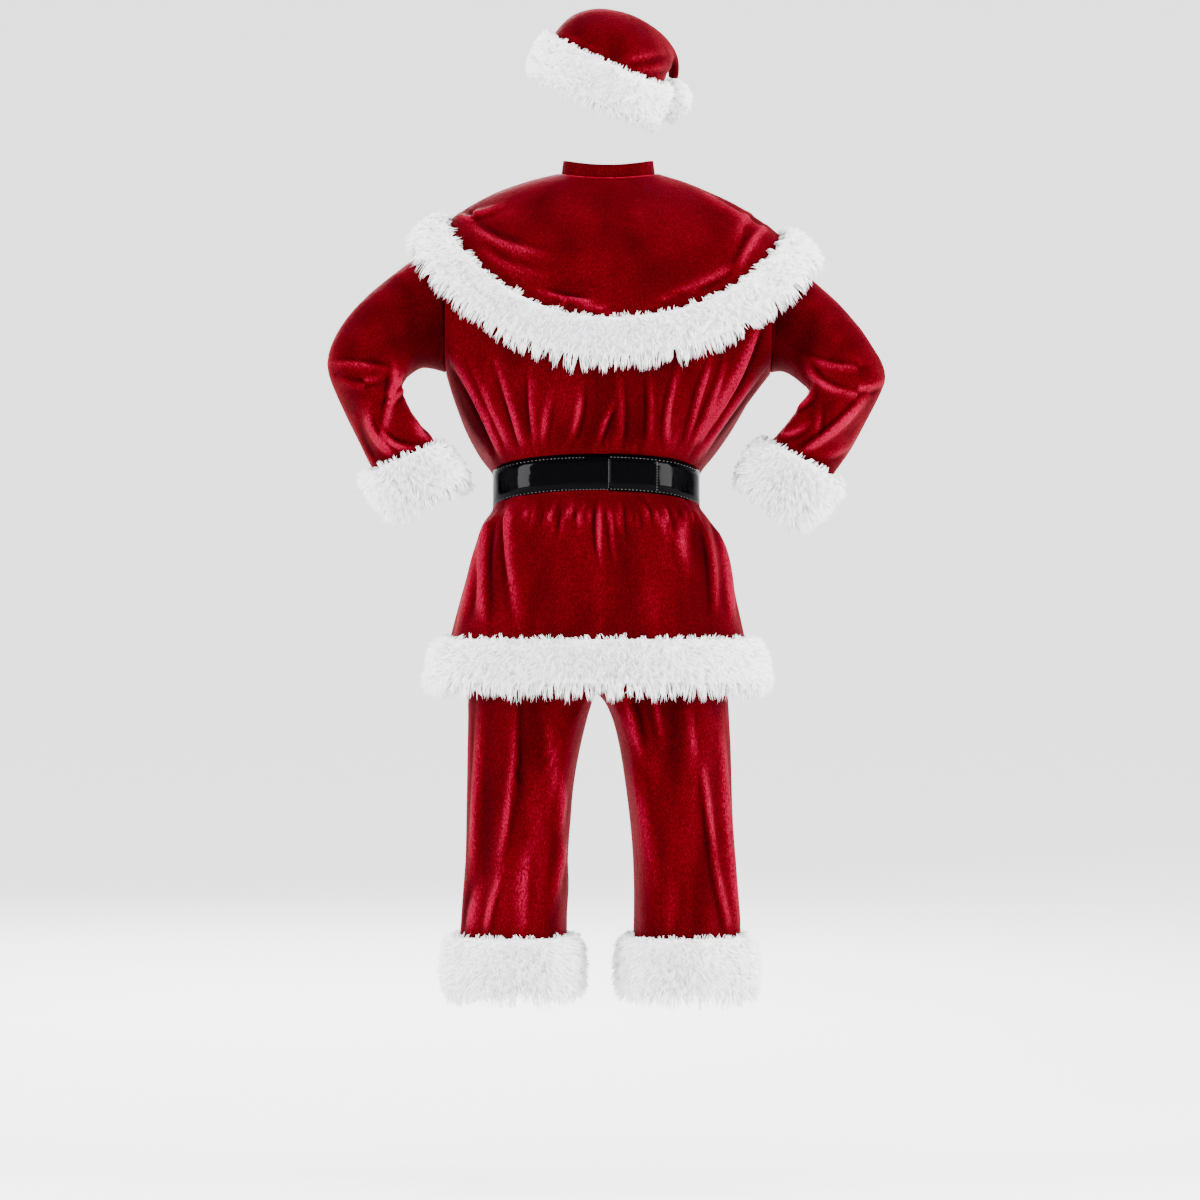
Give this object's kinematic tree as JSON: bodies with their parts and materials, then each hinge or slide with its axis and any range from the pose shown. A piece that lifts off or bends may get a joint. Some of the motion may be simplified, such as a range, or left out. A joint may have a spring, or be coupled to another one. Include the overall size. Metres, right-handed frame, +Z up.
{
  "type": "santa suit",
  "caption": "Red velvet santa suit with white fur trim, worn with hands on hips: belted coat, shoulder cape, trousers and hat.",
  "frame": {"origin": "middle of the neck opening, level with the shoulder seams at the neck, where the wearer's shoulders carry the coat", "axes": "+Z up, -Y towards the wearer's front, +X towards the wearer's left"},
  "size_m": [0.8694, 0.4191, 1.5349],
  "materials": {
    "velvet": "pile velvet with a soft sheen",
    "fur": "long white pile",
    "patent": "glossy",
    "metal": "polished"
  },
  "bodies": {
    "root": {"belt_buckle": "metal", "belt_strap": "patent", "cape": "velvet", "cape_fur": "fur", "coat_back": "velvet", "coat_front_left": "velvet", "coat_front_right": "velvet", "collar": "velvet", "hat_band": "fur", "hat_crown": "velvet", "hat_pompom": "fur", "hem_fur": "fur", "leg_cuff_left": "fur", "leg_cuff_right": "fur", "sleeve_cuff_left": "fur", "sleeve_cuff_right": "fur", "sleeve_left": "velvet", "sleeve_right": "velvet", "trouser_leg_left": "velvet", "trouser_leg_right": "velvet", "waistband": "velvet"}
  },
  "joints": []
}
